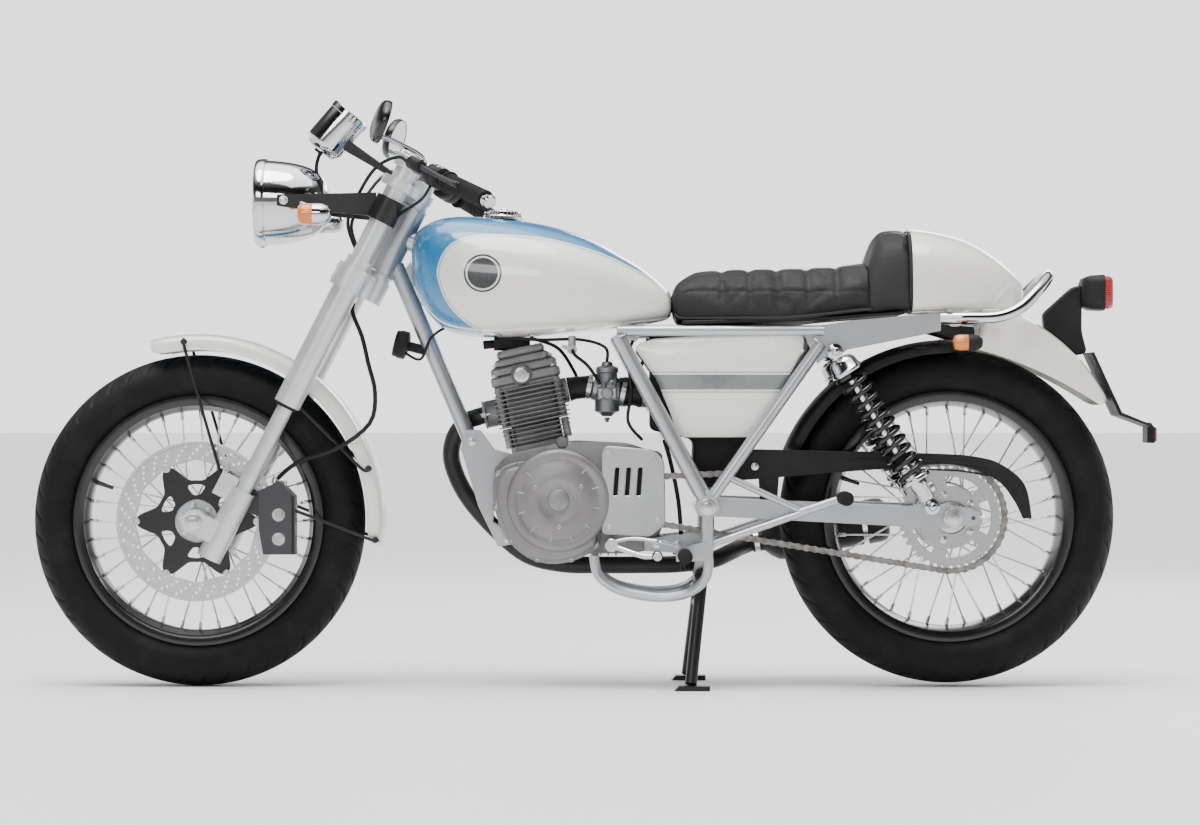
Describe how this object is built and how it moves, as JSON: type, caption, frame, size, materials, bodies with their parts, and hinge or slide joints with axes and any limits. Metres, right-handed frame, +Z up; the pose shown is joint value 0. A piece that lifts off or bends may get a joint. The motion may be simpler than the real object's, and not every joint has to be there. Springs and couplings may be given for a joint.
{
  "type": "cafe racer motorcycle",
  "caption": "Single-cylinder cafe racer motorcycle on its centre stand, with wire-spoked wheels, low clip-on bars, a long tank and a humped solo seat.",
  "frame": {"origin": "on the floor, below the middle of the machine's length and width", "axes": "+X forwards, +Y to the rider's left, +Z up"},
  "size_m": [2.0614, 0.7266, 1.0783],
  "materials": {
    "frame_silver": "silver enamel",
    "fork_silver": "silver enamel, satin",
    "chrome": "polished",
    "engine_metal": "cast, painted grey",
    "cover_metal": "cast, satin",
    "carburettor_metal": "cast",
    "black_plastic": "matte",
    "black_metal": "satin black",
    "exhaust_black": "matte heat-proof black",
    "tank_paint": "gloss cream with light blue",
    "cream_paint": "gloss",
    "seat_vinyl": "grained black vinyl",
    "indicator_amber": "clear amber lens on a chromed shell",
    "chain_steel": "oiled",
    "grip_rubber": "moulded",
    "cable_rubber": "smooth",
    "mirror_shell": "dark grey shell with a mirror face",
    "lamp_glass": "clear, fluted",
    "tyre_rubber": "treaded",
    "rim_black": "gloss black",
    "spoke_steel": "bright",
    "hub_metal": "machined",
    "disc_steel": "ground",
    "red_lens": "clear red lens",
    "mirror_glass": "silvered glass",
    "dial_face": "black dial with pale marks"
  },
  "bodies": {
    "chassis": {"main_frame": "frame_silver", "rear_frame": "frame_silver", "swingarm": "frame_silver", "shock_absorbers": "chrome", "crankcase": "engine_metal", "engine_covers": "cover_metal", "cylinder_barrel": "engine_metal", "cylinder_head": "engine_metal", "carburettor": "carburettor_metal", "air_box": "black_plastic", "exhaust_pipe": "exhaust_black", "silencer": "exhaust_black", "fuel_tank": "tank_paint", "fuel_cap": "chrome", "seat": "seat_vinyl", "tail_cowl": "cream_paint", "side_covers": "cream_paint", "rear_mudguard": "cream_paint", "inner_mudguard": "black_plastic", "grab_rail": "chrome", "tail_light": "black_plastic", "plate_bracket": "black_metal", "rear_indicators": "indicator_amber", "chain_guard": "black_plastic", "chain": "chain_steel", "footrests": "grip_rubber", "foot_controls": "chrome", "horn": "black_plastic"},
    "steering": {"fork_clamps": "fork_silver", "fork_legs": "fork_silver", "handlebars": "grip_rubber", "hand_controls": "black_metal", "mirrors": "mirror_shell", "headlamp": "chrome", "headlamp_lens": "lamp_glass", "headlamp_bracket": "black_metal", "speedometer": "chrome", "front_indicators": "indicator_amber", "front_mudguard": "cream_paint", "front_caliper": "black_metal", "front_cables": "cable_rubber"},
    "front_wheel": {"front_tyre": "tyre_rubber", "front_rim": "rim_black", "front_spokes": "spoke_steel", "front_hub": "hub_metal", "front_disc": "disc_steel"},
    "rear_wheel": {"rear_tyre": "tyre_rubber", "rear_rim": "rim_black", "rear_spokes": "spoke_steel", "rear_hub": "hub_metal", "rear_sprocket": "disc_steel"},
    "stand": {"centre_stand": "black_metal"}
  },
  "joints": [
    {"name": "steering", "type": "hinge", "parent": "chassis", "child": "steering", "pos_m": [0.366, 0, 0.818], "axis": [-0.454, 0, 0.891], "range_deg": [-35, 35]},
    {"name": "front_wheel", "type": "hinge", "parent": "steering", "child": "front_wheel", "pos_m": [0.72666, 0, 0.304], "axis": [0, 1, 0], "continuous": true},
    {"name": "rear_wheel", "type": "hinge", "parent": "chassis", "child": "rear_wheel", "pos_m": [-0.64634, 0, 0.312], "axis": [0, 1, 0], "continuous": true},
    {"name": "centre_stand", "type": "hinge", "parent": "chassis", "child": "stand", "pos_m": [-0.195, 0, 0.205], "axis": [0, 1, 0], "range_deg": [0, 85]}
  ]
}
